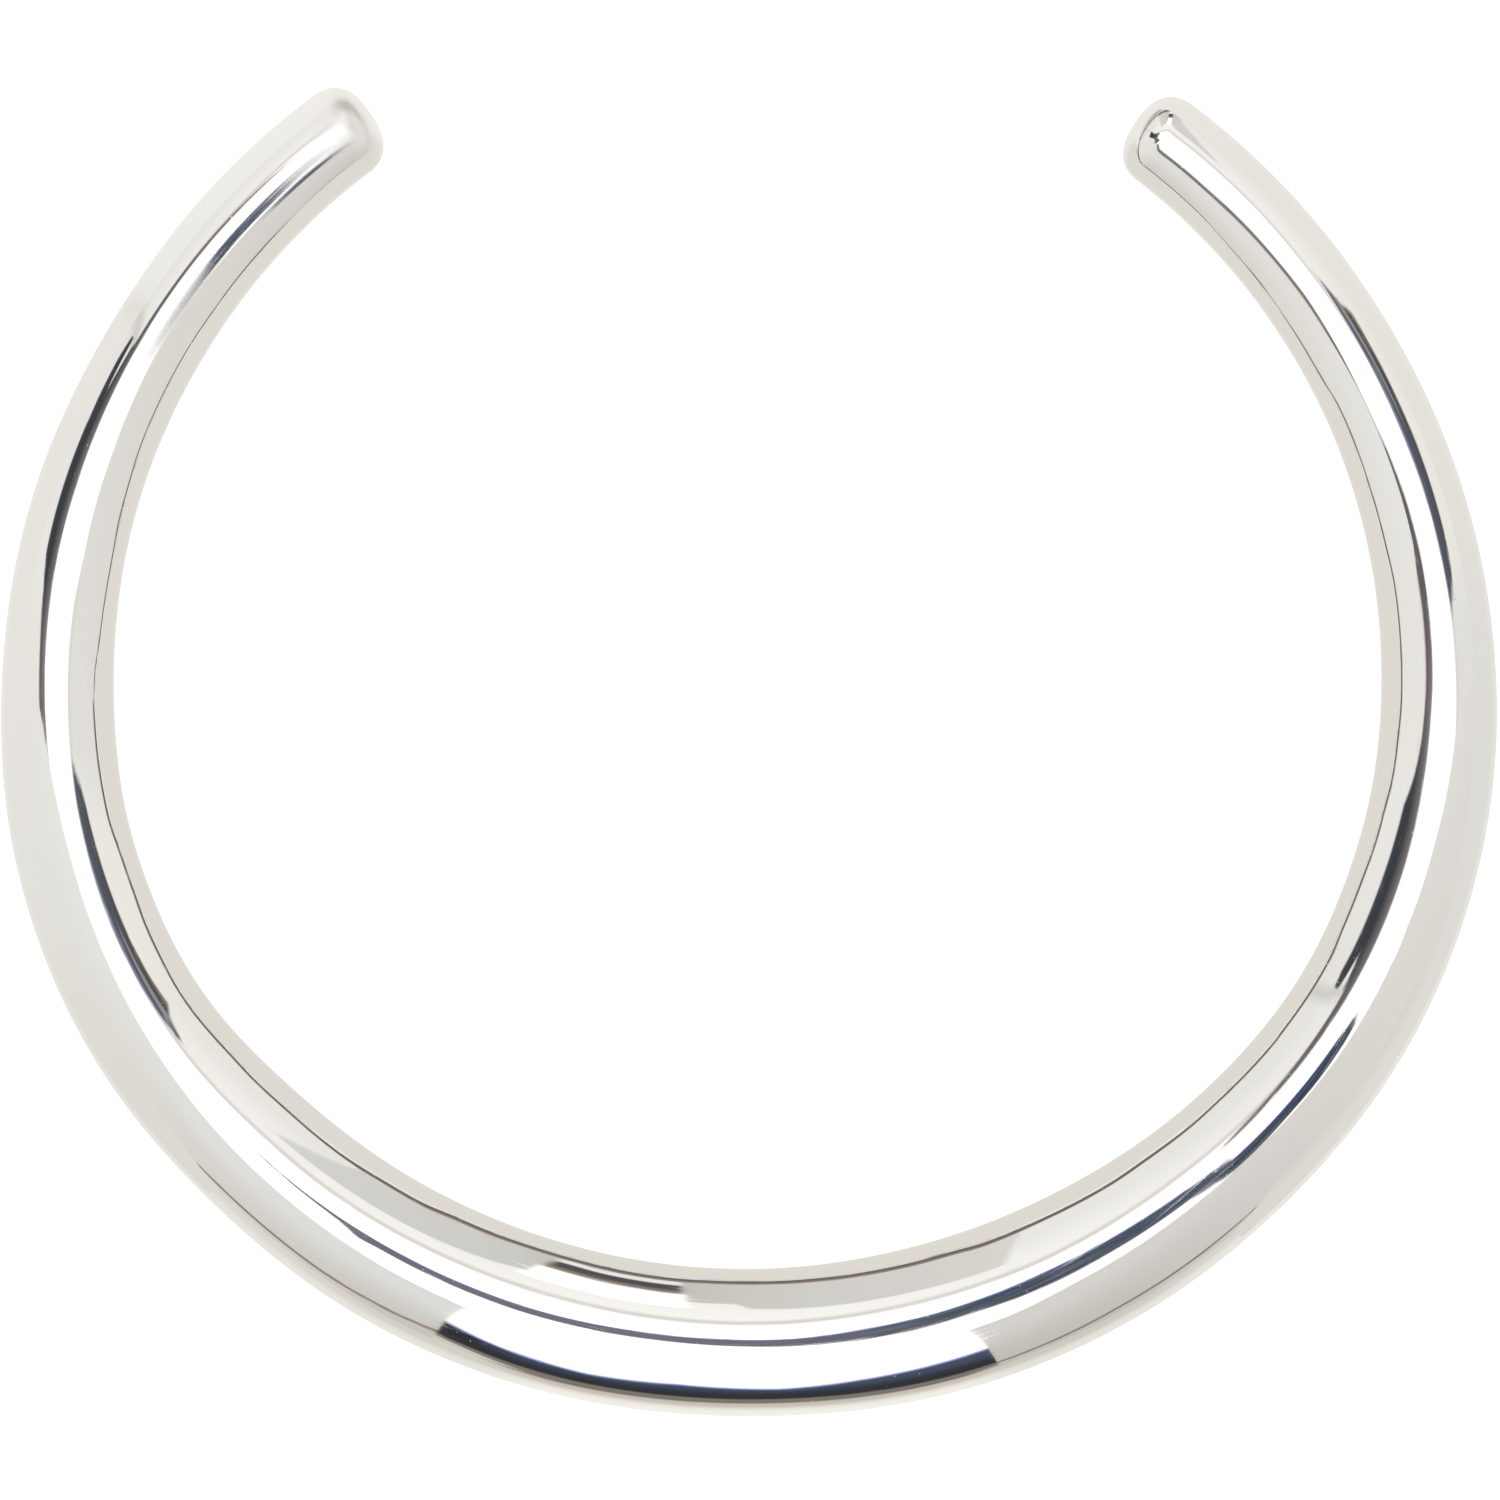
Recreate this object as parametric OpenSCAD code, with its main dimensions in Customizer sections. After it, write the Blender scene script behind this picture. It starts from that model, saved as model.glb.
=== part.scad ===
// Rigid collar choker: one polished silver tube bent into an open ring.
// It lies on its side with its widest part, the front, towards -Y and its two arms reaching back towards +Y.
// The origin is on the surface below the middle of its bounding box.

/* [Ring] */
// Radius of the tube's centreline round the sides and the back
ring_r = 65.8; // [58:0.1:76]
// Distance from the ring's centre to the centreline at the front, a little less than the radius
front_reach = 61.4; // [54:0.1:72]
// Angle round the ring from the front to the tip of the arm on the -X side
left_tip_angle = 147; // [130:0.5:152]
// Angle round the ring from the front to the tip of the arm on the +X side
right_tip_angle = 146; // [130:0.5:152]

/* [Tube] */
// Width of the oval tube at the front, measured in the plane of the ring
front_w = 14.1; // [9:0.1:20]
// Height of the oval tube round the front and the sides
front_h = 11; // [6:0.1:16]
// Diameter of the round tube at the arms' ends
arm_d = 9.1; // [5:0.1:12]
// Angle from the front up to which the tube keeps its full width
wide_to = 12; // [0:1:40]
// Angle from the front up to which the tube keeps its full height
high_to = 50; // [0:1:80]
// Angle from the front past which the tube is slim and round
slim_from = 140; // [90:1:145]

/* [Tips] */
// Length of the dome that closes each arm
dome_len = 3.6; // [1:0.1:6]
// Squareness of the dome: 2 is an ellipse, more is a flatter end with tighter corners
dome_power = 2.5; // [2:0.1:4]

/* [Mesh] */
// Sections between the two domes
body_rings = 132; // [40:1:150]
// Sections in each dome
dome_rings = 8; // [4:1:12]
// Points round each section
sides = 36; // [16:1:40]

/* [Hidden] */
dome_angle = dome_len / ring_r * 180 / PI;

// 0 to 1 with level ends, for x from a to b
function ease(x, a, b) = let (k = max(0, min(1, (x - a) / (b - a)))) k * k * (3 - 2 * k);

// How much of the front's extra size the tube still has at an angle from the front
function fullness(angle, full_to) = 1 - ease(abs(angle), full_to, slim_from);
function tube_w(angle) = arm_d + (front_w - arm_d) * fullness(angle, wide_to);
function tube_h(angle) = arm_d + (front_h - arm_d) * fullness(angle, high_to);

// The centreline is a circle behind the ring's centre and a half ellipse in front of it
function reach(angle) = abs(angle) < 90 ? front_reach : ring_r;
function centre(angle) = [ring_r * sin(angle), -reach(angle) * cos(angle)];
function outward(angle) =
    let (n = [reach(angle) * sin(angle), -ring_r * cos(angle)]) n / norm(n);

// Each section is [angle, scale]: the tube at full scale, then the domes closing to nearly nothing
function dome_scale(k) = pow(1 - pow(k, dome_power), 1 / dome_power);
function dome_step(i) = sin(90 * i / dome_rings) * 0.999;
function dome(tip, side) = [
    for (i = [1:dome_rings])
        let (k = dome_step(i)) [side * (tip - dome_angle * (1 - k)), dome_scale(k)]
];
function body_angle(i) =
    -left_tip_angle + dome_angle
    + (left_tip_angle + right_tip_angle - 2 * dome_angle) * i / (body_rings - 1);
left_dome = dome(left_tip_angle, -1);
sections = concat(
    [for (i = [dome_rings - 1:-1:0]) left_dome[i]],
    [for (i = [0:body_rings - 1]) [body_angle(i), 1]],
    dome(right_tip_angle, 1)
);

// The tube's underside touches the surface all along, so each section is centred at half its full height
function section_points(angle, scale) =
    let (c = centre(angle), n = outward(angle), w = tube_w(angle), h = tube_h(angle))
    [
        for (j = [0:sides - 1])
            let (u = 360 * j / sides, out = scale * w / 2 * cos(u))
            [c.x + n.x * out, c.y + n.y * out, h / 2 + scale * h / 2 * sin(u)]
    ];
ring_points = [for (s = sections) each section_points(s[0], s[1])];
box_middle = [
    for (axis = [0, 1])
        let (values = [for (p = ring_points) p[axis]]) (min(values) + max(values)) / 2
];

// Two triangles for each patch between neighbouring sections, and a fan over each last section
last = len(sections) - 1;
function at(i, j) = i * sides + j % sides;
wall_faces = [
    for (i = [0:last - 1], j = [0:sides - 1])
        each [
            [at(i, j), at(i, j + 1), at(i + 1, j + 1)],
            [at(i, j), at(i + 1, j + 1), at(i + 1, j)]
        ]
];
cap_faces = [
    for (j = [1:sides - 2])
        each [[at(0, 0), at(0, j + 1), at(0, j)], [at(last, 0), at(last, j), at(last, j + 1)]]
];

module collar() {
    color([0.9, 0.9, 0.88])
        translate([-box_middle.x, -box_middle.y, 0])
            polyhedron(points = ring_points, faces = concat(wall_faces, cap_faces));
}

collar();
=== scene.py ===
"""Looks of the collar choker: one polished silver tube bent into an open ring, lying on a white table.

All lengths are in metres. A bearing is the angle round the ring in degrees: 0 is the front, towards -Y,
and positive bearings go to the right, towards +X. A slope is the angle from straight up in degrees.
"""

import math

import bpy
import numpy as np
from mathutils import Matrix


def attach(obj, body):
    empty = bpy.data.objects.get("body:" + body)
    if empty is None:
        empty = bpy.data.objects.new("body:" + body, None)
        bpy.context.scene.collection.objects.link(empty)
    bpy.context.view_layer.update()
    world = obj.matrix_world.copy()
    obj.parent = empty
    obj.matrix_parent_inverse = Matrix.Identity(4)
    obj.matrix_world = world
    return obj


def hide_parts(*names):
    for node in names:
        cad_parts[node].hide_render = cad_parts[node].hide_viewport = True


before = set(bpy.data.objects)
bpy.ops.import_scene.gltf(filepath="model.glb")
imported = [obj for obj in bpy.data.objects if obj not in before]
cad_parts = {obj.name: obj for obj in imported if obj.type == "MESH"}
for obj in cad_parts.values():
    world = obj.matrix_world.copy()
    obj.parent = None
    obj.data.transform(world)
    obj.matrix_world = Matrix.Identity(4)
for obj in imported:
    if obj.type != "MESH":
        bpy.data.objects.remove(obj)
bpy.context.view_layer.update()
scene = bpy.context.scene

MM = 0.001

# Ring and tube, the same sizes as the source's
RING_R = 65.8 * MM
FRONT_REACH = 61.4 * MM
LEFT_TIP = 147.0
RIGHT_TIP = 146.0
FRONT_W = 14.1 * MM
FRONT_H = 11.0 * MM
ARM_D = 9.1 * MM
WIDE_TO = 12.0
HIGH_TO = 50.0
SLIM_FROM = 140.0
DOME_LEN = 3.6 * MM
DOME_POWER = 2.5

# Unevenness from forging by hand, in millimetres: how far the outer and the inner edge stand proud of
# the even tube at a bearing
FORGED = [
    # bearing, outer, inner
    (-147, 0.2, -0.3),
    (-135, 0.0, 0.0),
    (-120, -0.4, 0.1),
    (-105, -0.1, 0.0),
    (-90, -0.2, 0.1),
    (-75, 0.1, -0.4),
    (-60, 0.2, -0.7),
    (-45, -0.2, 0.1),
    (-30, 0.2, -0.1),
    (-15, 0.2, -0.2),
    (0, 0.0, -0.2),
    (15, 0.3, 0.0),
    (30, 0.2, 0.1),
    (45, -0.1, -0.1),
    (60, 0.0, -0.3),
    (75, -0.1, 0.1),
    (90, -0.1, 0.3),
    (105, -0.1, 0.2),
    (120, -0.2, 0.1),
    (135, -0.1, 0.0),
    (146, -0.1, -0.2),
]
FORGED_SPREAD = 7.0

# How far the inner wall's mirrored horizon stands below its even place, in degrees, by bearing
INNER_SWING = [
    (-140, -7), (-135, -1), (-128, -2), (-120, -5), (-113, -3), (-108, 6), (-100, 11), (-96, 5), (-90, -9),
    (-85, -6), (-80, -1), (-73, 7), (-65, 3), (-60, -3), (-55, 0), (-48, -5), (-40, -7), (-33, -2), (-25, 5),
    (-19, 8), (-10, 6), (0, 8), (5, 6), (10, 3), (15, 1), (25, -4), (33, -5), (40, -1), (50, 1), (60, 3),
    (71, 7), (77, 3), (84, -4), (91, -9), (98, -9), (105, -2), (110, 0), (113, -2), (122, 7),
    (130, 6), (140, 2),
]
SWING_SPREAD = 2.5
SWING_MIDDLE = 3.0
# The bulge that swings the inner wall: its place round the section and its spread, in degrees
BULGE_AT = 156.0
BULGE_SPREAD = 13.0

# Mesh of the tube: sections along it and in each dome, points round a section, and the share of the
# dome's length at which its last section stands before the point that closes it
BODY_RINGS = 700
DOME_RINGS = 30
SIDES = 120
DOME_CLOSED = 0.99995

# Meshes of the studio's pieces: steps along a piece, and levels from its foot or near edge to the other
CARD_GRID = (90, 12)
SKIRT_STEPS = 90
OVERHEAD_GRID = (120, 9)

# Camera, straight above the ring: its height, the width that it sees at half the tube's height, the
# picture's size and the place in it of the middle of the ring's box in pixels, and the sensor's width
# in millimetres
CAMERA_HEIGHT = 650 * MM
FRAME_WIDTH = 142.5 * MM
PICTURE = 1500
CENTRE_PX = (749.0, 751.5)
SENSOR = 36.0

# Place of the ring's centre behind the middle of its bounding box
RING_CENTRE_Y = 5.4 * MM

# Standing pieces of the studio: the cards left and right of the ring, the softness of the dark line of
# painted shade on them, and the low skirts close round the ring
CARD_HEIGHT = 463 * MM
LINE_SOFT = 7 * MM
SKIRT_HEIGHT = 13.6 * MM
SKIRT_REACH = 80 * MM
# The skirts rise from nothing to their full height between these angles from the back, and lose a third
# of it over this many degrees at the front end
SKIRT_BACK = (14, 40)
SKIRT_TAPER = 6

# Heights of the things overhead: the boom, and the lower and the upper end of its clamp
BOOM_HEIGHT = 200 * MM
CLAMP_FOOT = 660 * MM
CLAMP_HEAD = 2300 * MM
# Where the blue fringe of their near edge ends and the brown one of their far edge begins, each as a
# share of their width with its softness
BLUE_EDGE = (0.08, 0.12)
BROWN_EDGE = (0.94, 0.1)
# Bearing at which their left tint goes over to the right one, and its softness
TINT_TURN = (11, 26)
# Streaks in them: their step in degrees along, their number across, the place and softness of the edge
# that cuts them out of the noise, and how strongly they show
STREAK_STEP = 9
STREAKS_ACROSS = 7
STREAK_EDGE = (0.58, 0.24)
STREAK_STRENGTH = 0.4

# The table: half its width, how much light it scatters, and the light that it adds for the eye
TABLE_HALF = 3.0
TABLE_WHITE = 0.5
TABLE_GLOW = 0.75
# Places on it, each with its softness: the distance at which the painted light and shade beside the tube go
# over to those further out, the edge of its cream middle, and the distances and bearings of the painted dark
# shade behind
FURTHER_OUT = (88 * MM, 24 * MM)
MIDDLE = (60 * MM, 8 * MM)
SHADE_BEHIND_REACH = (95 * MM, 150 * MM, 20 * MM)
SHADE_BEHIND_BEARINGS = (-20, 22, 6)

# The studio's edges: their usual softness, and the bearings and softness of the opening in front and of
# the table's darker strip of painted shade there
EDGE_SOFT = 4.0
OPENING = (-34, 30, 2)
FRONT_STRIP = (-19, 19, 7)

# Heights of the silver's unevenness: ripples across the tube, low waves and hairlines
RIPPLE = 0.0015 * MM
WAVE = 0.012 * MM
HAIR = 0.0004 * MM

# Roughness of the silver: all over, and what smudges, hairlines, specks, the left arm, the two domes and
# the brushed strip add
ROUGH = 0.02
SMUDGE_ROUGH = 0.025
HAIR_ROUGH = 0.1
SPECK_ROUGH = 0.25
LEFT_ARM_ROUGH = 0.04
LEFT_DOME_ROUGH = 0.27
RIGHT_DOME_ROUGH = 0.2
BRUSHED_ROUGH = 0.11

# Where the silver is less polished: the bearing on the left arm, and the degrees before either tip, each
# with its softness
LEFT_ARM_SOFT = (132.0, 16)
LEFT_DOME_SOFT = (4, 6)
RIGHT_DOME_SOFT = (1.2, 2)

# The brushed strip along the inner side of the left arm's crest: its width, the height above which it
# lies, and how strongly it is brushed by bearing
BRUSHED_WIDTH = 1.3 * MM
BRUSHED_ABOVE = ARM_D * 0.8
BRUSHED = [(-147, 0.7), (-141, 0.7), (-137, 0.15), (-130, 0.15), (-127, 1.0), (-121, 1.0), (-117, 0.0)]

# Colour of the light that the silver sends back, red, green and blue
SILVER = (0.945, 0.932, 0.91)


def ease(x, a, b):
    """0 to 1 with level ends, for x from a to b."""
    k = np.clip((x - a) / (b - a), 0, 1)
    return k * k * (3 - 2 * k)


def tube_width(bearing):
    """The front's width, slimming to the arms' width with level ends."""
    return FRONT_W + (ARM_D - FRONT_W) * ease(np.abs(bearing), WIDE_TO, SLIM_FROM)


def tube_height(bearing):
    """The front's height, kept round the sides and sinking to the arms' height with level ends."""
    return FRONT_H + (ARM_D - FRONT_H) * ease(np.abs(bearing), HIGH_TO, SLIM_FROM)


def centreline(bearing):
    """A circle behind the ring's centre, a half ellipse in front of it, and the outward direction."""
    turn = np.radians(bearing)
    reach = np.where(np.abs(bearing) < 90, FRONT_REACH, RING_R)
    place = np.stack([RING_R * np.sin(turn), -reach * np.cos(turn)], -1)
    outward = np.stack([reach * np.sin(turn), -RING_R * np.cos(turn)], -1)
    return place, outward / np.linalg.norm(outward, axis=-1, keepdims=True)


def uneven(rows, spread, bearing):
    """Values of a table's columns at bearings: each row weighs most at its own bearing, in a bell
    curve, and the weighted mean is taken."""
    rows = np.array(rows, float)
    weight = np.exp(-((bearing[:, None] - rows[:, 0]) / spread) ** 2 / 2)
    return (weight @ rows[:, 1:] / weight.sum(1, keepdims=True)).T


def stations():
    """Bearing and scale of every section: even steps along the tube, and domes that close as a
    superellipse, with steps that shorten towards each tip."""
    dome_turn = math.degrees(DOME_LEN / RING_R)
    k = np.sin(np.pi / 2 * np.arange(1, DOME_RINGS + 1) / DOME_RINGS) * DOME_CLOSED
    scale = (1 - k ** DOME_POWER) ** (1 / DOME_POWER)
    inset = dome_turn * (1 - k)
    body = np.linspace(-LEFT_TIP + dome_turn, RIGHT_TIP - dome_turn, BODY_RINGS)
    bearing = np.concatenate([(-LEFT_TIP + inset)[::-1], body, RIGHT_TIP - inset])
    return bearing, np.concatenate([scale[::-1], np.ones(BODY_RINGS), scale])


def mesh_object(name, points, faces):
    """A mesh object at the origin from whole arrays of points and faces."""
    mesh = bpy.data.meshes.new(name)
    mesh.from_pydata(points.reshape(-1, 3).tolist(), [], faces)
    mesh.update()
    piece = bpy.data.objects.new(name, mesh)
    scene.collection.objects.link(piece)
    return piece


def grid_faces(rows, columns, closed):
    """Four-sided faces between neighbouring rows and columns, joined round if closed."""
    i, j = np.meshgrid(np.arange(rows - 1), np.arange(columns if closed else columns - 1), indexing="ij")
    k = (j + 1) % columns
    corners = [i * columns + j, i * columns + k, (i + 1) * columns + k, (i + 1) * columns + j]
    return np.stack(corners, -1).reshape(-1, 4)


def open_grid(name, flat, up):
    """A mesh object from a grid of places on the table, counted from the ring's centre, and heights."""
    points = np.concatenate([flat + np.array([0, RING_CENTRE_Y]), up[..., None]], -1)
    return mesh_object(name, points, grid_faces(*up.shape, closed=False).tolist())


def collar_surface():
    """The tube: at each station two half ellipses, as wide and high as the tube is there, stand across
    the centreline. Their middle is at half the tube's full height, so the underside touches the table,
    and the unevenness moves the outer and the inner edge. Then the inner wall gets a low bulge, in a bell
    curve round the section, whose upper flank has the wall's swing as its slope."""
    bearing, scale = stations()
    place, outward = centreline(bearing)
    outer, inner = uneven(FORGED, FORGED_SPREAD, bearing) * MM
    turn = 2 * np.pi * np.arange(SIDES) / SIDES
    half_w = tube_width(bearing) / 2
    half_h = tube_height(bearing) / 2
    side = np.where(np.cos(turn) > 0, (half_w + outer)[:, None], (half_w + inner)[:, None])
    swing = uneven(INNER_SWING, SWING_SPREAD, bearing)[0] + SWING_MIDDLE
    # A bell curve is steepest one spread from its middle, where its slope is its height times this over
    # its spread
    steepest = math.exp(-0.5)
    spread = math.radians(BULGE_SPREAD)
    height = np.radians(swing / 2) * spread * (half_w + half_h) / 2 / steepest
    bulge = height[:, None] * np.exp(-((np.degrees(turn) - BULGE_AT) / BULGE_SPREAD) ** 2 / 2)
    out = scale[:, None] * (side + bulge) * np.cos(turn)
    up = half_h[:, None] + scale[:, None] * (half_h[:, None] + bulge) * np.sin(turn)
    flat = place[:, None, :] + outward[:, None, :] * out[..., None]
    points = np.concatenate([flat, up[..., None]], -1)
    points[..., :2] -= (points[..., :2].min((0, 1)) + points[..., :2].max((0, 1))) / 2
    return points


def make_collar():
    """The tube's grid closed by a point at each tip."""
    points = collar_surface()
    rows = len(points)
    tips = points[[0, -1]].mean(1)
    faces = grid_faces(rows, SIDES, closed=True)
    j = np.arange(SIDES)
    k = (j + 1) % SIDES
    first = np.stack([np.full(SIDES, rows * SIDES), k, j], -1)
    end = (rows - 1) * SIDES
    last = np.stack([np.full(SIDES, rows * SIDES + 1), end + j, end + k], -1)
    everything = np.concatenate([points.reshape(-1, 3), tips])
    collar = mesh_object("polished_tube", everything, faces.tolist() + first.tolist() + last.tolist())
    collar.data.polygons.foreach_set("use_smooth", np.ones(len(collar.data.polygons), bool))
    return collar


class Value:
    """A socket in a shader. Sums on it add Math nodes, and add() puts in any other kind of node."""

    def __init__(self, tree, socket=None):
        self.tree = tree
        self.socket = socket

    def add(self, kind, settings=(), inputs=()):
        """A new node: first its settings, then the numbers, colours or Values of its sockets."""
        node = self.tree.nodes.new(kind)
        for name, setting in dict(settings).items():
            if name == "stops":
                fill_ramp(node.color_ramp, setting)
            else:
                setattr(node, name, setting)
        for name, given in dict(inputs).items():
            if isinstance(given, Value):
                self.tree.links.new(given.socket, node.inputs[name])
            elif isinstance(given, tuple) and len(given) == 3:
                node.inputs[name].default_value = (*given, 1)
            else:
                node.inputs[name].default_value = given
        return Value(self.tree, node.outputs[0] if node.outputs else None)

    def pick(self, output):
        """Another output of the same node."""
        return Value(self.tree, self.socket.node.outputs[output])

    def math(self, operation, *given):
        return self.add("ShaderNodeMath", {"operation": operation}, enumerate(given))

    def __add__(self, other):
        return self.math("ADD", self, other)

    def __sub__(self, other):
        return self.math("SUBTRACT", self, other)

    def __rsub__(self, other):
        return self.math("SUBTRACT", other, self)

    def __mul__(self, other):
        return self.math("MULTIPLY", self, other)

    def __truediv__(self, other):
        return self.math("DIVIDE", self, other)

    __radd__ = __add__
    __rmul__ = __mul__

    def rise(self, edge, soft):
        """0 below the edge and 1 above it, going over smoothly across the soft width."""
        half = soft / 2
        return self.add(
            "ShaderNodeMapRange",
            {"interpolation_type": "SMOOTHSTEP"},
            {0: self, 1: edge - half, 2: edge + half},
        )

    def band(self, low, high, soft):
        """1 between two edges."""
        return self.rise(low, soft) * (1 - self.rise(high, soft))

    def ramp(self, stops):
        """A colour for this number, from (number, colour) stops in rising order."""
        low = stops[0][0]
        span = stops[-1][0] - low
        placed = [((at - low) / span, colour) for at, colour in stops]
        return self.add("ShaderNodeValToRGB", {"stops": placed}, {0: (self - low) / span})

    def curve(self, rows):
        """A number for this number, in straight lines through (number, result) rows."""
        top = max(result for _, result in rows) or 1.0
        return self.ramp([(at, (result / top,) * 3) for at, result in rows]) * top

    def over(self, under, colour):
        """The colour where this mask is 1, and what is under it where the mask is 0."""
        mixed = self.add("ShaderNodeMix", {"data_type": "RGBA"}, {0: self, 6: under, 7: colour})
        return mixed.pick(2)

    def noise(self, parts, detail, rough):
        """Noise from 0 to 1 at the place with these three parts, counted in steps of the grain."""
        way = self.add("ShaderNodeCombineXYZ", (), parts)
        fineness = {"Vector": way, "Scale": 1.0, "Detail": detail, "Roughness": rough}
        return self.add("ShaderNodeTexNoise", (), fineness)

    def place(self):
        """Place of a shaded point from the ring's centre on the table: x, y, z and its bearing."""
        split = self.add("ShaderNodeSeparateXYZ", (), {0: self.add("ShaderNodeTexCoord").pick("Object")})
        x = split.pick(0)
        y = split.pick(1) - RING_CENTRE_Y
        return x, y, split.pick(2), bearing_of(x, y, 0)


def fill_ramp(ramp, stops):
    """A colour ramp's stops."""
    while len(ramp.elements) > 1:
        ramp.elements.remove(ramp.elements[-1])
    ramp.elements[0].position = stops[0][0]
    ramp.elements[0].color = (*stops[0][1], 1)
    for position, colour in stops[1:]:
        ramp.elements.new(position).color = (*colour, 1)


def bearing_of(x, y, middle):
    """Bearing in degrees of a direction or place, counted from a middle bearing."""
    turn = math.radians(middle)
    ahead = x * math.sin(turn) - y * math.cos(turn)
    aside = x * math.cos(turn) + y * math.sin(turn)
    return aside.math("DEGREES", aside.math("ARCTAN2", aside, ahead))


def distance_of(x, y):
    """Distance of a place from the ring's axis."""
    squares = x * x + y * y
    return squares.math("SQRT", squares)


def new_material(name):
    """A new material without nodes, and the Value that its nodes start from."""
    material = bpy.data.materials.new(name)
    material.use_nodes = True
    material.node_tree.nodes.clear()
    return material, Value(material.node_tree)


def linear(value):
    """The light of a screen value from 0 to 255, by the screens' usual curve."""
    part = value / 255
    return part / 12.92 if part < 0.04045 else ((part + 0.055) / 1.055) ** 2.4


def seen(red, green, blue):
    """The light that shows in the silver as this screen colour."""
    return tuple(linear(value) / tint for value, tint in zip((red, green, blue), SILVER))


# What the silver mirrors
LAMP = (1.3, 1.3, 1.3)
WALL_LINE = seen(219, 214, 208)
# Painted shade where the walls and cards meet the table and on the table behind the ring: its middle, top and
# foot tones
SEAM_SHADE = seen(106, 98, 92)
SEAM_SHADE_TOP = seen(150, 132, 114)
SEAM_SHADE_FOOT = seen(112, 110, 114)
BOOM_GREY = seen(108, 109, 120)
BOOM_BLUE = seen(70, 79, 93)
CLAMP_BLUE = seen(56, 68, 86)
BLUE_FRINGE = seen(142, 156, 212)
BROWN_FRINGE = seen(186, 174, 160)
STREAKS = seen(138, 143, 154)
INSIDE_TABLE = seen(221, 217, 209)
CARD_FOOT = seen(214, 211, 205)

# Painted light and shade of the white table outside the ring, as the silver mirrors it, by bearing: beside
# the tube and a hand's breadth further out
TABLE_LIGHT_AND_SHADE = [
    (-180, seen(238, 236, 229), seen(238, 236, 229)), (-135, seen(238, 236, 230), seen(238, 236, 230)),
    (-124, seen(236, 234, 228), seen(236, 234, 228)), (-122.8, seen(229, 227, 221), seen(220, 218, 212)),
    (-121.6, seen(231, 228, 222), seen(231, 228, 221)), (-90, seen(231, 229, 223), seen(230, 227, 222)),
    (-75, seen(229, 227, 221), seen(226, 224, 218)), (-60, seen(228, 225, 219), seen(221, 218, 211)),
    (-45, seen(230, 227, 220), seen(219, 216, 210)), (-28, seen(230, 227, 219), seen(212, 208, 198)),
    (28, seen(229, 226, 218), seen(205, 200, 189)), (45, seen(233, 230, 223), seen(219, 216, 209)),
    (60, seen(231, 228, 221), seen(222, 219, 213)), (90, seen(226, 224, 218), seen(221, 219, 214)),
    (105, seen(228, 226, 220), seen(226, 223, 217)), (120, seen(231, 228, 222), seen(229, 226, 219)),
    (135, seen(232, 229, 223), seen(231, 227, 220)), (180, seen(238, 236, 229), seen(238, 236, 229)),
]


def patch(slope, bearing, top, foot, side_soft=2.0, soft=EDGE_SOFT):
    """A mask between two edges that run through (bearing, slope) rows."""
    across = bearing.band(top[0][0], top[-1][0], side_soft)
    return across * slope.rise(bearing.curve(top), soft) * (1 - slope.rise(bearing.curve(foot), soft))


def lamp_and_walls(slope, bearing, behind):
    """A wide lamp overhead and pale walls from its edge down, with a soft line along their top. The foot
    of the back wall is a tenth dimmer."""
    wall_top = bearing.curve([
        (-180, 22), (-157, 22), (-152, 24), (-145, 27), (-137, 27), (-125, 26), (-95, 26), (-50, 22),
        (-30, 40), (19, 40), (45, 28), (52, 26), (60, 22.5), (67, 22), (75, 29), (78, 33), (86, 31), (90, 27),
        (94, 25.5), (122, 25), (128, 21), (133, 20), (138, 21), (145, 20), (155, 22), (165, 23), (180, 22),
    ])
    line_depth = 5.5
    wall = bearing.ramp([
        (-180, seen(247, 246, 241)), (-150, seen(243, 241, 236)), (-137, seen(240, 238, 233)),
        (-124.1, seen(236, 234, 228)), (-123.4, seen(178, 176, 172)), (-122.7, seen(233, 231, 225)),
        (-105, seen(233, 231, 226)), (-98, seen(231, 228, 222)), (-90, seen(229, 227, 222)),
        (-60, seen(222, 219, 212)), (60, seen(218, 215, 208)), (78, seen(222, 221, 216)),
        (100, seen(224, 222, 217)), (106, seen(233, 231, 224)), (128, seen(240, 237, 231)),
        (150, seen(244, 242, 237)), (180, seen(247, 246, 241)),
    ])
    back = 1 - behind.band(-60, 60, 40) * slope.rise(50, 45) * 0.1
    dimmed = back.over((0, 0, 0), wall)
    colour = slope.rise(wall_top, EDGE_SOFT).over(LAMP, WALL_LINE)
    return slope.rise(wall_top + line_depth, EDGE_SOFT).over(colour, dimmed)


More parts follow.
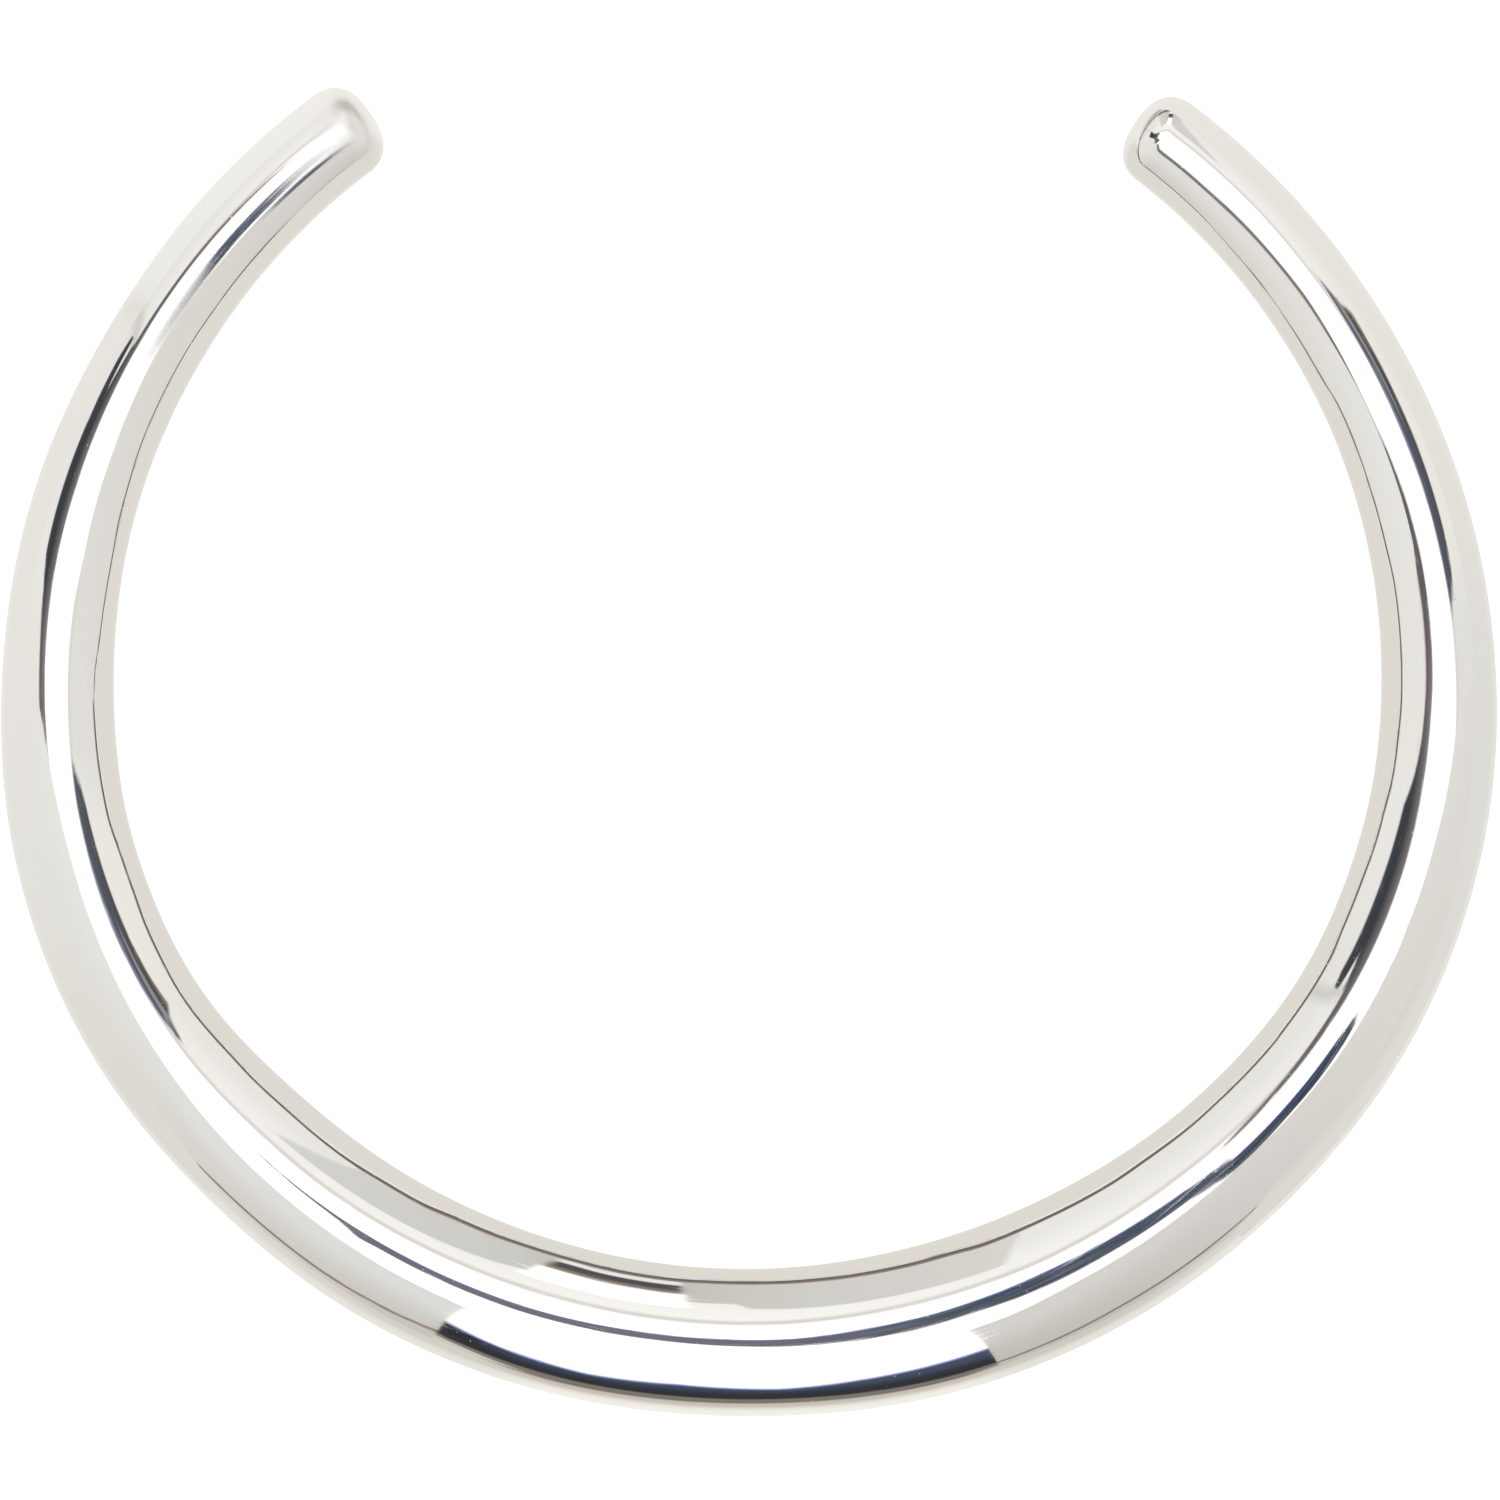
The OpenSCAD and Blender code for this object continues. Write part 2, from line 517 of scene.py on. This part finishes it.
def front_opening(colour, opening, slope, bearing):
    """Between the near cards: lamp light above, then a dark room with a blue edge, a brown floor line, and
    the pale floor below."""
    room_top = bearing.curve([
        (-30, 49), (-24, 50.5), (-21, 56), (-18, 59.5), (-15, 61.5), (-12, 63.5), (-8.7, 62), (-5, 60),
        (-1.5, 62), (2, 64), (5, 61.5), (7.5, 59), (10, 57.5), (14, 56), (18, 54.5), (30, 53.5),
    ])
    room_foot = bearing.curve([
        (-30, 75), (-25, 75.5), (-22, 77), (-18, 80.5), (-13, 82.5), (0, 84), (30, 84),
    ])
    room_end = bearing.curve([(-30, 79), (-25, 80), (-22, 83), (-19, 87), (-15, 92), (30, 92)])
    room = slope.ramp([
        (50, seen(78, 88, 126)), (58, seen(72, 80, 102)), (64, seen(70, 77, 94)), (70, seen(56, 62, 75)),
        (74, seen(50, 54, 62)), (78, seen(50, 51, 56)), (83, seen(54, 51, 54)),
    ])
    room = bearing.rise(-19, 8).over(seen(50, 49, 52), room)
    blue_from = room_top - 1.2
    dark_from = room_top + 1
    colour = opening.over(colour, LAMP)
    colour = (opening * slope.rise(blue_from, EDGE_SOFT)).over(colour, seen(150, 165, 225))
    colour = (opening * slope.rise(dark_from, 3.5)).over(colour, room)
    colour = (opening * slope.rise(room_foot, EDGE_SOFT)).over(colour, seen(124, 117, 109))
    return (opening * slope.rise(room_end, EDGE_SOFT)).over(colour, seen(206, 200, 188))


def left_gap(colour, slope, bearing):
    """A dark gap on the left, under the lamp's edge, with a light wedge cut into it, and its thin rim that
    runs on over the near card."""
    gap_top = [
        (-140, 20.5), (-137, 21.5), (-133, 23.3), (-128, 24), (-124, 23.5), (-120, 22.7), (-116, 22.2),
        (-112, 22.7), (-108, 22.5), (-104, 21), (-100, 17.5), (-96, 16), (-92, 15.3), (-85, 17), (-78, 21),
        (-71, 26.5), (-66, 23), (-60.5, 20), (-53, 23), (-44, 26), (-36, 28),
    ]
    gap_foot = [
        (-140, 24), (-136.5, 27.5), (-132, 30.5), (-128, 32.5), (-123.8, 34), (-123, 52), (-121, 55.5),
        (-118, 54), (-113, 53), (-108.4, 52), (-105.5, 50.5), (-103.5, 41), (-101, 35), (-99, 32.5),
        (-96, 29.8), (-92, 28.5), (-78, 29.5), (-71, 33.5), (-66, 30), (-60.5, 27), (-53, 29.5), (-44, 34),
        (-36, 36),
    ]
    wedge_top = [(-126, 35), (-123.5, 37), (-120, 40.5)]
    wedge_foot = [(-126, 46), (-123.5, 45), (-120, 42)]
    tint = slope.ramp([
        (18, seen(150, 138, 134)), (25, seen(122, 114, 114)), (30, seen(98, 96, 98)), (38, seen(62, 64, 66)),
        (44, seen(58, 61, 64)), (56, seen(66, 70, 82)),
    ])
    tint = bearing.rise(-98, 12).over(tint, seen(100, 94, 97))
    tint = bearing.rise(-66, 14).over(tint, seen(124, 115, 112))
    wedge = patch(slope, bearing, wedge_top, wedge_foot, 1, 3)
    return (patch(slope, bearing, gap_top, gap_foot) * (1 - wedge)).over(colour, tint)


def right_gap(colour, slope, bearing):
    """A dark gap on the right, bluish along its top, with a faint light wedge in it."""
    gap_top = [
        (104, 28), (105.5, 26.5), (108, 25.3), (112, 25), (116, 23.2), (120, 21.5), (124, 22), (127, 24.5),
        (130, 29),
    ]
    gap_foot = [
        (104, 39), (105.5, 43), (108, 44.5), (114, 45.5), (118, 46), (122, 48),
        (125, 52), (126.5, 40), (130, 30),
    ]
    tint = slope.ramp([
        (20, seen(160, 163, 190)), (25.5, seen(126, 129, 150)), (29, seen(84, 87, 97)),
        (38, seen(80, 84, 92)), (43, seen(78, 76, 76)), (50, seen(160, 138, 116)),
    ])
    colour = patch(slope, bearing, gap_top, gap_foot).over(colour, tint)
    faint = 0.25
    wedge = patch(slope, bearing, [(118, 34), (128, 31)], [(118, 36), (128, 39)], 3, 3) * faint
    return wedge.over(colour, seen(236, 232, 224))


def back_panels(colour, slope, behind):
    """Two grey panels at the back, whose sides stand at bearings that lean with the slope, a white gap
    between them, and a dark notch below it."""
    panel = behind.ramp([
        (-41, seen(211, 209, 204)), (-25, seen(206, 205, 199)), (-19, seen(204, 202, 196)),
        (-15, seen(195, 192, 187)), (-6, seen(195, 192, 186)), (0, seen(204, 201, 195)),
        (6, seen(208, 206, 200)), (13, seen(211, 208, 203)), (23, seen(216, 213, 206)),
    ])
    one_top = behind.curve([(-45, 36), (-35, 38), (-25, 41), (-22, 43), (-19, 47), (-15, 52)])
    two_top = behind.curve([(-6, 51), (-1, 51), (0.5, 44.5), (7, 41.5), (13, 40), (18, 38.5), (26, 38)])
    one_left = (behind + 47.3 - slope * 0.17).rise(0, 1.5)
    one_right = (behind + 21.8 - slope * 0.08).rise(0, 1.2)
    two_left = behind.rise(-5, 1.2)
    two_right = (behind - 18.4 - slope * 0.055).rise(0, 1.2)
    one = one_left * (1 - one_right) * slope.rise(one_top, 2)
    two = two_left * (1 - two_right) * slope.rise(two_top, 2)
    colour = (one + two).over(colour, panel)
    between = one_right * (1 - two_left) * behind.rise(-23, 1)
    notch = slope.ramp([(60, seen(160, 147, 134)), (63.5, seen(134, 122, 110)), (66.5, seen(80, 79, 82))])
    colour = (between * slope.band(42, 62, 2)).over(colour, LAMP)
    return (between * slope.band(60.5, 73.5, 3)).over(colour, notch)


def table_seam_shade(colour, opening, slope, behind):
    """Painted shade as a dark band where the walls meet the table."""
    seam_top = behind.curve([(-180, 83), (-30, 83), (-24, 80.5), (18, 80.5), (26, 83), (180, 83)])
    seam_shade = slope.rise(seam_top, 2.5) * (1 - opening)
    return seam_shade.over(colour, slope.ramp([(82, SEAM_SHADE_TOP), (85.5, SEAM_SHADE), (90, SEAM_SHADE_FOOT)]))


def make_studio():
    """The far part of the studio by direction, for the silver alone. The eye and the table see plain
    white."""
    world = bpy.data.worlds.new("studio")
    scene.world = world
    world.use_nodes = True
    world.node_tree.nodes.clear()
    start = Value(world.node_tree)
    split = start.add("ShaderNodeSeparateXYZ", (), {0: start.add("ShaderNodeTexCoord")})
    x, y, z = (split.pick(i) for i in range(3))
    slope = z.math("DEGREES", z.math("ARCCOSINE", z))
    bearing = bearing_of(x, y, 0)
    behind = bearing_of(x, y, 180)
    opening = bearing.band(*OPENING)
    colour = lamp_and_walls(slope, bearing, behind)
    colour = front_opening(colour, opening, slope, bearing)
    colour = left_gap(colour, slope, bearing)
    colour = right_gap(colour, slope, bearing)
    colour = back_panels(colour, slope, behind)
    colour = table_seam_shade(colour, opening, slope, behind)

    shown = start.add("ShaderNodeLightPath")
    plain = shown.math("MAXIMUM", shown, shown.pick("Is Diffuse Ray"))
    seen_by_eye = start.add("ShaderNodeBackground", (), {0: (1, 1, 1, 1), 1: 1.0})
    mirrored = start.add("ShaderNodeBackground", (), {0: colour, 1: 1.0})
    both = start.add("ShaderNodeMixShader", (), {0: plain, 1: mirrored, 2: seen_by_eye})
    start.add("ShaderNodeOutputWorld", (), {0: both})


def stage_for_silver(piece, material, start, colour):
    """Ends a piece's material as light alone, and hides it from the eye, the table's light and shadows, so
    that only the silver sees it.
    """
    glow = start.add("ShaderNodeEmission", (), {0: colour})
    start.add("ShaderNodeOutputMaterial", (), {0: glow})
    piece.data.materials.append(material)
    piece.visible_camera = False
    piece.visible_diffuse = False
    piece.visible_shadow = False


def make_card(name, leans, plan, tints, line):
    """A standing card by the ring. Its plan goes in straight lines through (bearing, millimetres) rows and
    its top leans over by a few degrees of bearing, given for either end. Its colours near its foot and
    higher up go through (bearing, low, high) rows. A dark line of painted shade runs between the heights in
    (bearing, low, high) rows, in millimetres, and right down to the table where the low one is below it."""
    columns, levels = CARD_GRID
    part = np.linspace(0, 1, levels)
    at = np.linspace(plan[0][0], plan[-1][0], columns)
    distance = np.interp(at, [row[0] for row in plan], [row[1] for row in plan]) * MM
    lean = np.interp(at, [at[0], at[-1]], leans)
    turn = np.radians(at[:, None] + lean[:, None] * part)
    flat = np.stack([np.sin(turn), -np.cos(turn)], -1) * distance[:, None, None]
    card = open_grid(name, flat, np.broadcast_to(CARD_HEIGHT * part, (columns, levels)))

    material, start = new_material(name)
    _, _, up, bearing = start.place()
    foot = bearing.ramp([(row[0], row[1]) for row in tints])
    head = bearing.ramp([(row[0], row[2]) for row in tints])
    tint = up.rise(CARD_HEIGHT / 3, CARD_HEIGHT * 2 / 3).over(foot, head)
    # A ramp holds no number below 0, so the line's foot is lifted for it and lowered again
    lift = 20
    line_low = bearing.curve([(row[0], row[1] + lift) for row in line]) * MM - lift * MM
    line_high = bearing.curve([(row[0], row[2]) for row in line]) * MM
    # The dark line is painted shade, in the colours of the painted shade where the walls meet the table
    dark = up.rise(line_low, LINE_SOFT) * (1 - up.rise(line_high, LINE_SOFT))
    seam_shade = (up / MM).ramp([(0, SEAM_SHADE_FOOT), (18, SEAM_SHADE), (36, SEAM_SHADE_TOP)])
    stage_for_silver(card, material, start, dark.over(tint, seam_shade))


def make_cards():
    """The pale cards left and right of the ring."""
    make_card("left_card", leans=(5, 1.3), plan=[
        (-94.5, 147), (-90, 142), (-81, 154), (-65, 187), (-56, 213), (-50, 235), (-40, 249), (-24.9, 258),
    ], tints=[
        (-95, seen(229, 227, 221), seen(231, 230, 225)), (-75, seen(225, 223, 218), seen(228, 227, 223)),
        (-60, seen(221, 218, 211), seen(225, 223, 218)), (-45, seen(211, 208, 202), seen(223, 222, 218)),
        (-30, seen(200, 197, 190), seen(220, 219, 215)), (-23, seen(198, 195, 188), seen(219, 218, 214)),
    ], line=[
        (-95, -20, 34), (-53, -20, 35), (-50.5, 20, 31), (-48, 22, 29), (-45, 20, 33), (-35, 28, 44),
        (-28, 45, 62), (-23, 66, 86),
    ])
    make_card("right_card", leans=(-1.3, -1.3), plan=[
        (19.3, 262), (23, 249), (30, 204), (40, 179), (48, 166), (62, 196), (78, 191), (86, 204), (90, 239),
        (94, 286),
    ], tints=[
        (18, seen(190, 187, 181), seen(212, 209, 204)), (30, seen(194, 191, 185), seen(213, 210, 205)),
        (45, seen(209, 206, 201), seen(214, 211, 206)), (60, seen(217, 214, 208), seen(217, 214, 208)),
        (95, seen(221, 218, 213), seen(224, 222, 217)),
    ], line=[
        (18, 21, 32), (30, 24, 34), (38, 19, 27), (42, 19, 24), (46, 20, 22), (49, -20, 34), (95, -20, 34),
    ])


def make_skirt(name, first, last):
    """A low card close round the ring, in the table's painted light and shade, that sinks to nothing towards
    the back and by a third over its last few degrees in front. On the right its top takes the near card's
    grey."""
    bearing = np.linspace(first, last, SKIRT_STEPS)
    turn = np.radians(bearing)
    flat = np.stack([np.sin(turn), -np.cos(turn)], -1) * SKIRT_REACH
    front_end = min(abs(first), abs(last))
    in_front = (2 + ease(np.abs(bearing) - front_end, 0, SKIRT_TAPER)) / 3
    top = SKIRT_HEIGHT * ease(180 - np.abs(bearing), *SKIRT_BACK) * in_front
    up = np.stack([np.zeros(SKIRT_STEPS), top], -1)
    skirt = open_grid(name, np.broadcast_to(flat[:, None], (SKIRT_STEPS, 2, 2)), up)

    material, start = new_material(name)
    _, _, up, around = start.place()
    by_the_card = around.band(30, 72, 20)
    upper = up.rise(SKIRT_HEIGHT * 0.75, SKIRT_HEIGHT * 0.5) * by_the_card
    skirt_light_and_shade = around.ramp([(row[0], row[2]) for row in TABLE_LIGHT_AND_SHADE])
    stage_for_silver(skirt, material, start, upper.over(skirt_light_and_shade, CARD_FOOT))


def make_overhead(name, heights, moved, tints, rows):
    """A flat dark thing overhead, part of the camera's stand. Square across the tube at each bearing it
    reaches from one to the other distance from the ring's middle in (bearing, near, far) rows, in
    millimetres, with its two heights at these edges. It is moved aside by a share of what the tube's
    falling height turns the view. Its two tints are those of its left and right, its near edge is
    fringed with blue and its far edge with brown, as the lens shows them."""
    columns, levels = OVERHEAD_GRID
    at = np.linspace(rows[0][0], rows[-1][0], columns)
    near, far = (np.interp(at, [row[0] for row in rows], [row[i] for row in rows]) for i in (1, 2))
    part = np.linspace(0, 1, levels)
    place, outward = centreline(at)
    reach = (near[:, None] + (far - near)[:, None] * part) * MM - np.linalg.norm(place, axis=1)[:, None]
    up = np.broadcast_to(heights[0] + (heights[1] - heights[0]) * part, reach.shape)
    step = np.gradient(place, axis=0)
    length = np.linalg.norm(step, axis=1)
    fall = -np.gradient(tube_height(at)) / length
    aside = moved * 2 * fall[:, None] * up
    along = (step / length[:, None])[:, None] * aside[..., None]
    piece = open_grid(name, place[:, None] + outward[:, None] * reach[..., None] + along, up)
    slope = reach / up
    share = (slope - slope[:, :1]) / (slope[:, -1:] - slope[:, :1])
    piece.data.attributes.new("across", "FLOAT", "POINT").data.foreach_set("value", share.ravel())

    material, start = new_material(name)
    across = start.add("ShaderNodeAttribute", {"attribute_name": "across"}).pick("Fac")
    around = start.place()[3]
    streaks = start.noise({0: around / STREAK_STEP, 1: across * STREAKS_ACROSS}, 2.0, 0.6)
    tint = around.rise(*TINT_TURN).over(*tints)
    tint = (streaks.rise(*STREAK_EDGE) * STREAK_STRENGTH).over(tint, STREAKS)
    tint = across.rise(*BLUE_EDGE).over(BLUE_FRINGE, tint)
    stage_for_silver(piece, material, start, across.rise(*BROWN_EDGE).over(tint, BROWN_FRINGE))


def make_stand():
    """The camera's stand overhead: its boom over the front, its clamp over the right side, and the
    clamp's own arm further back."""
    make_overhead("camera_boom", (BOOM_HEIGHT, BOOM_HEIGHT), 0.0, (BOOM_GREY, BOOM_BLUE), [
        (-47, 62, 64.5), (-42, 61, 68), (-38.5, 60, 71), (-37, 59, 76), (-35.5, 58, 90), (-33, 57, 83),
        (-28, 56, 81.5), (-20, 55, 81), (-16, 52.5, 78.5), (-12, 48.5, 76.5), (-8, 47, 75), (-4, 47.5, 76),
        (0, 49, 78.5), (4, 50, 82), (8, 45.5, 84), (12, 41, 87), (16, 41, 85), (20, 37, 82.5), (24, 33, 86),
        (28, 28, 85), (32, 27, 81), (36, 28, 80), (40, 28.5, 79), (43, 32, 78), (46, 46, 77),
    ])
    make_overhead("boom_clamp", (CLAMP_HEAD, CLAMP_FOOT), 1.0, (CLAMP_BLUE, CLAMP_BLUE), [
        (42, 60, 100), (43.5, 60, 150), (45, 58, 210), (48, 56, 220), (52, 56, 205), (56, 56, 218),
        (60, 58, 205), (61.5, 60, 190), (63, 60, 115),
    ])
    make_overhead("clamp_arm", (CLAMP_HEAD, CLAMP_HEAD), 0.0, (CLAMP_BLUE, CLAMP_BLUE), [
        (60, 60, 240), (64, 60, 215), (68, 60, 185), (72, 60, 165), (80, 60, 150), (88, 60, 128),
        (95, 60, 90),
    ])


def mirrored_table(x, y, bearing):
    """The table's colours in the silver, all painted light and shade on a white table: painted light and
    shade round the ring, painted shade further out in front between the near cards, cream inside the ring,
    and painted dark shade in the ring's gap behind."""
    reach = distance_of(x, y)
    close = bearing.ramp([(row[0], row[1]) for row in TABLE_LIGHT_AND_SHADE])
    further = bearing.ramp([(row[0], row[2]) for row in TABLE_LIGHT_AND_SHADE])
    around = reach.rise(*FURTHER_OUT).over(close, further)
    # Painted shade on the table further out in front, darkening to brown
    front = (reach / MM).ramp([
        (76, seen(241, 238, 231)), (80, seen(239, 235, 227)), (85, seen(234, 229, 219)),
        (92, seen(216, 209, 197)), (105, seen(196, 191, 184)), (125, seen(200, 195, 186)),
        (150, seen(190, 183, 168)), (210, seen(142, 130, 119)), (326, seen(120, 112, 108)),
        (600, seen(112, 105, 100)),
    ])
    around = bearing.band(*FRONT_STRIP).over(around, front)
    bright = (1 - reach.rise(*MIDDLE)).over(around, INSIDE_TABLE)
    # Painted dark shade on the table behind the ring's gap
    gap = bearing_of(x, y, 180).band(*SHADE_BEHIND_BEARINGS) * reach.band(*SHADE_BEHIND_REACH)
    return gap.over(bright, SEAM_SHADE)


def make_table():
    """A white table: bright to the eye, with only a soft shade under the tube, and cream with painted light
    and shade in the silver.
    """
    corners = np.array([[-1, -1, 0], [1, -1, 0], [1, 1, 0], [-1, 1, 0]]) * TABLE_HALF
    table = mesh_object("table", corners, [(0, 1, 2, 3)])
    material, start = new_material("white_table")
    lit = start.add("ShaderNodeBsdfDiffuse", (), {0: (TABLE_WHITE, TABLE_WHITE, TABLE_WHITE)})
    glow = start.add("ShaderNodeEmission", (), {0: (1, 1, 1, 1), 1: TABLE_GLOW})
    to_eye = start.add("ShaderNodeAddShader", (), {0: lit, 1: glow})
    x, y, _, bearing = start.place()
    in_silver = start.add("ShaderNodeEmission", (), {0: mirrored_table(x, y, bearing), 1: 1.0})
    shown = start.add("ShaderNodeLightPath")
    both = start.add("ShaderNodeMixShader", (), {0: shown, 1: in_silver, 2: to_eye})
    start.add("ShaderNodeOutputMaterial", (), {0: both})
    table.data.materials.append(material)


def polished_silver():
    """Bright hand-polished silver: low waves left by the forging, finer ripples across the tube, hairlines
    along it, and small specks, worked out in metres along the ring, away from its axis and up. The left
    arm has a brushed strip, and the two domes are left softer."""
    material, start = new_material("polished_silver")
    x, y, up, bearing = start.place()
    away = distance_of(x, y)
    along = bearing * (math.radians(1) * RING_R)

    def grain(step_along, step_across, detail, rough):
        """Noise with its own step along and across the tube."""
        parts = {0: along / step_along, 1: away / step_across, 2: up / step_across}
        return start.noise(parts, detail, rough)

    ripples = grain(1.8 * MM, 9 * MM, 1.0, 0.5) * RIPPLE
    waves = grain(14 * MM, 14 * MM, 1.0, 0.4) * WAVE
    hairs = grain(14 * MM, 0.14 * MM, 2.0, 0.6).rise(0.66, 0.12)
    specks = grain(0.32 * MM, 0.32 * MM, 1.0, 0.4).rise(0.78, 0.08)
    smudges = grain(9 * MM, 5 * MM, 2.0, 0.6).rise(0.5, 0.5)
    relief = ripples + waves + hairs * HAIR
    bumped = start.add("ShaderNodeBump", (), {"Strength": 1.0, "Distance": 1.0, "Height": relief})
    left_dome = (-LEFT_TIP + LEFT_DOME_SOFT[0] - bearing).rise(0, LEFT_DOME_SOFT[1])
    left_arm = (-LEFT_ARM_SOFT[0] - bearing).rise(0, LEFT_ARM_SOFT[1])
    right_dome = (bearing - (RIGHT_TIP - RIGHT_DOME_SOFT[0])).rise(0, RIGHT_DOME_SOFT[1])
    brushed = (RING_R - away).band(0, BRUSHED_WIDTH, 0.5 * MM) * bearing.curve(BRUSHED)
    brushed = brushed * up.rise(BRUSHED_ABOVE, 1 * MM)
    rough = smudges * SMUDGE_ROUGH + ROUGH + hairs * HAIR_ROUGH + specks * SPECK_ROUGH
    rough = rough + left_arm * LEFT_ARM_ROUGH + left_dome * LEFT_DOME_ROUGH
    rough = rough + right_dome * RIGHT_DOME_ROUGH + brushed * BRUSHED_ROUGH
    surface = start.add("ShaderNodeBsdfPrincipled", (), {
        "Base Color": (*SILVER, 1), "Metallic": 1.0, "Roughness": rough, "Normal": bumped,
    })
    start.add("ShaderNodeOutputMaterial", (), {0: surface})
    return material


def make_camera():
    """The photograph's camera, looking straight down at the ring."""
    pixel = FRAME_WIDTH / PICTURE
    data = bpy.data.cameras.new("camera")
    data.sensor_width = SENSOR
    data.lens = SENSOR * (CAMERA_HEIGHT - FRONT_H / 2) / FRAME_WIDTH
    camera = bpy.data.objects.new("camera", data)
    camera.location = (
        (PICTURE / 2 - CENTRE_PX[0]) * pixel,
        (CENTRE_PX[1] - PICTURE / 2) * pixel,
        CAMERA_HEIGHT,
    )
    scene.collection.objects.link(camera)
    scene.camera = camera


scene.view_settings.view_transform = "Standard"
make_camera()
make_studio()
make_cards()
make_skirt("left_skirt", -165, -47)
make_skirt("right_skirt", 42, 163)
make_stand()
make_table()

collar = make_collar()
collar.data.materials.append(polished_silver())
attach(collar, "root")
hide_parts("collar")
